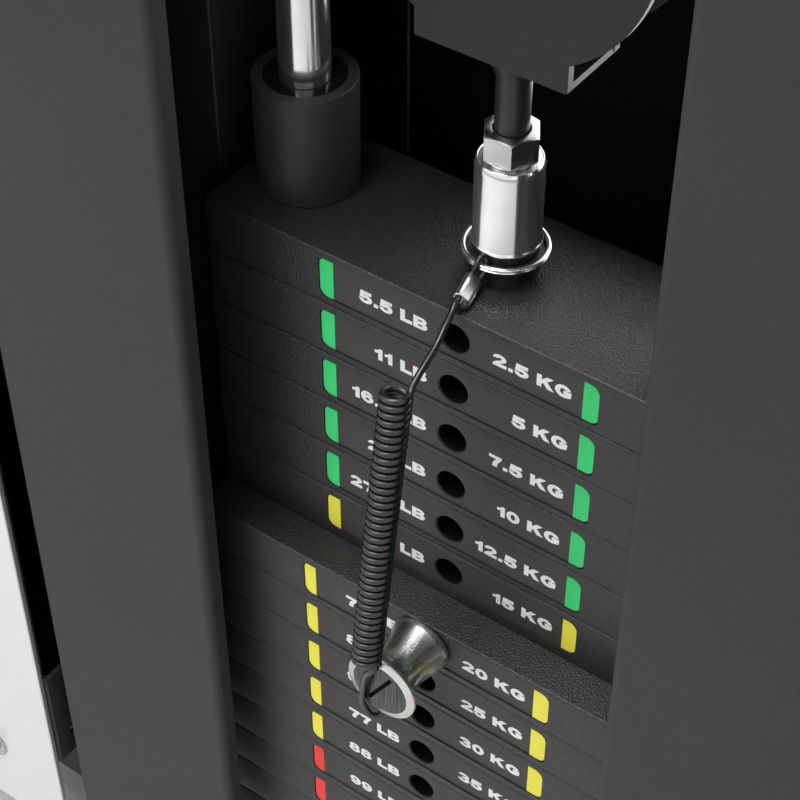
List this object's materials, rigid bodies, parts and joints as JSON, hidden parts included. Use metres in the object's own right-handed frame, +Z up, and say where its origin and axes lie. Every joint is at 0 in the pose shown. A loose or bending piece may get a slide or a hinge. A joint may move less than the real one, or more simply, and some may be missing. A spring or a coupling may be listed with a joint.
{
  "type": "cable machine",
  "caption": "Selectorised cable station: a guided stack of numbered plates, picked with a tethered pin, driven by a cable over pulleys from a sliding column carriage with a stirrup handle.",
  "frame": {"origin": "on the floor under the centre of the weight stack", "axes": "+Z up, +X to the right as seen by a person facing the plates' numbers, -Y toward that person"},
  "size_m": [0.9151, 0.7, 2.045],
  "materials": {
    "frame_black": "black powder coat, fine texture",
    "shroud_grey": "dark grey textured coat",
    "white_gloss": "white gloss panel",
    "plate_black": "black grained powder coat",
    "chrome": "bright chrome",
    "steel": "plain bright steel",
    "dark_steel": "dark satin finish",
    "rubber": "matt black rubber",
    "nylon": "black nylon",
    "sleeve_black": "matt black tube with a glossy bush",
    "cord_black": "glossy black coated cord"
  },
  "bodies": {
    "frame": {"base_frame": "frame_black", "foot_rail_left": "frame_black", "foot_rail_right": "frame_black", "centre_foot": "rubber", "upright_left": "frame_black", "upright_right": "frame_black", "top_frame": "frame_black", "rod_top_plate": "frame_black", "column": "frame_black", "shroud_left": "shroud_grey", "shroud_right": "shroud_grey", "rear_cover": "frame_black", "fascia": "white_gloss", "fascia_bracket": "frame_black", "guide_rod_left": "chrome", "guide_rod_right": "chrome", "cushion_left": "rubber", "cushion_right": "rubber", "plate_08": "plate_black", "plate_09": "plate_black", "plate_10": "plate_black", "plate_11": "plate_black", "plate_12": "plate_black", "plate_13": "plate_black", "plate_14": "plate_black", "plate_15": "plate_black", "cable": "cord_black"},
    "stack": {"plate_01": "plate_black", "plate_02": "plate_black", "plate_03": "plate_black", "plate_04": "plate_black", "plate_05": "plate_black", "plate_06": "plate_black", "plate_07": "plate_black", "selector_rod": "steel", "head_collar": "chrome", "jam_nut": "steel", "yoke_stem": "dark_steel", "pulley_yoke": "dark_steel", "guide_sleeve_left": "sleeve_black", "guide_sleeve_right": "sleeve_black", "lanyard_ring": "chrome", "ferrule": "steel", "lanyard": "cord_black"},
    "column_top_pulley": {"column_top_pulley": "nylon"},
    "top_left_pulley": {"top_left_pulley": "nylon"},
    "top_right_pulley": {"top_right_pulley": "nylon"},
    "outer_right_pulley": {"outer_right_pulley": "nylon"},
    "base_right_pulley": {"base_right_pulley": "nylon"},
    "column_base_pulley": {"column_base_pulley": "nylon"},
    "floating_pulley": {"floating_pulley": "nylon"},
    "swivel_pulley": {"swivel_pulley": "nylon"},
    "selector_pin": {"selector_pin": "chrome"},
    "carriage": {"carriage": "frame_black"},
    "pop_pin": {"pop_pin": "nylon"},
    "swivel": {"swivel_yoke": "dark_steel"},
    "hook": {"stop_ball": "rubber"},
    "handle": {"snap_hook": "chrome", "handle_bail": "chrome"},
    "grip": {"handle_grip": "rubber"}
  },
  "joints": [
    {"name": "stack_lift", "type": "slide", "parent": "frame", "child": "stack", "axis": [0, 0, 1], "range_m": [0, 0.98], "deforming": ["cable"]},
    {"name": "selector_pin_pull", "type": "slide", "parent": "stack", "child": "selector_pin", "axis": [0, -1, 0], "range_m": [0, 0.09], "deforming": ["lanyard"]},
    {"name": "floating_pulley_spin", "type": "hinge", "parent": "stack", "child": "floating_pulley", "pos_m": [0, 0, 0.8448], "axis": [0, 1, 0], "range_deg": [0, 985.6]},
    {"name": "top_left_pulley_spin", "type": "hinge", "parent": "frame", "child": "top_left_pulley", "pos_m": [-0.102, 0, 1.99], "axis": [0, 1, 0], "range_deg": [-2496, 0]},
    {"name": "column_top_pulley_spin", "type": "hinge", "parent": "frame", "child": "column_top_pulley", "pos_m": [-0.5, 0, 1.99], "axis": [0, 1, 0], "range_deg": [-2496, 0]},
    {"name": "carriage_slide", "type": "slide", "parent": "frame", "child": "carriage", "axis": [0, 0, 1], "range_m": [-0.6, 0.7], "deforming": ["cable"]},
    {"name": "column_base_pulley_spin", "type": "hinge", "parent": "frame", "child": "column_base_pulley", "pos_m": [-0.512, 0, 0.062], "axis": [0, 1, 0], "range_deg": [-1042.2, 1215.9]},
    {"name": "base_right_pulley_spin", "type": "hinge", "parent": "frame", "child": "base_right_pulley", "pos_m": [0.196, 0, 0.062], "axis": [0, 1, 0], "range_deg": [-1042.2, 1215.9]},
    {"name": "outer_right_pulley_spin", "type": "hinge", "parent": "frame", "child": "outer_right_pulley", "pos_m": [0.196, 0, 2.002], "axis": [0, 1, 0], "range_deg": [-1042.2, 1215.9]},
    {"name": "top_right_pulley_spin", "type": "hinge", "parent": "frame", "child": "top_right_pulley", "pos_m": [0.102, 0, 1.99], "axis": [0, 1, 0], "range_deg": [-764.4, 891.8]},
    {"name": "pop_pin_push", "type": "slide", "parent": "carriage", "child": "pop_pin", "axis": [-1, 0, 0], "range_m": [-0.014, 0]},
    {"name": "swivel_yaw", "type": "hinge", "parent": "carriage", "child": "swivel", "pos_m": [-0.545, 0, 1], "axis": [0, 0, 1], "range_deg": [-80, 45], "deforming": ["cable"]},
    {"name": "swivel_pulley_spin", "type": "hinge", "parent": "swivel", "child": "swivel_pulley", "pos_m": [-0.545, -0.033, 1], "axis": [1, 0, 0], "range_deg": [-3403.5, 0]},
    {"name": "handle_pull", "type": "slide", "parent": "swivel", "child": "hook", "axis": [0, -1, 0], "range_m": [0, 1.96]},
    {"name": "handle_swing", "type": "hinge", "parent": "hook", "child": "handle", "pos_m": [-0.545, -0.122, 0.9658], "axis": [1, 0, 0], "range_deg": [-110, 5]},
    {"name": "grip_spin", "type": "hinge", "parent": "handle", "child": "grip", "pos_m": [-0.545, -0.122, 0.7826], "axis": [1, 0, 0], "continuous": true}
  ],
  "couplings": [
    {"joint": "floating_pulley_spin", "follows": "stack_lift", "rad_per_m": 17.544},
    {"joint": "top_left_pulley_spin", "follows": "stack_lift", "rad_per_m": -44.444},
    {"joint": "column_top_pulley_spin", "follows": "stack_lift", "rad_per_m": -44.444},
    {"joint": "column_base_pulley_spin", "follows": "carriage_slide", "rad_per_m": 30.303},
    {"joint": "base_right_pulley_spin", "follows": "carriage_slide", "rad_per_m": 30.303},
    {"joint": "outer_right_pulley_spin", "follows": "carriage_slide", "rad_per_m": 30.303},
    {"joint": "top_right_pulley_spin", "follows": "carriage_slide", "rad_per_m": 22.222},
    {"joint": "swivel_pulley_spin", "follows": "stack_lift", "rad_per_m": -60.606},
    {"joint": "handle_pull", "follows": "stack_lift", "ratio": 2}
  ]
}
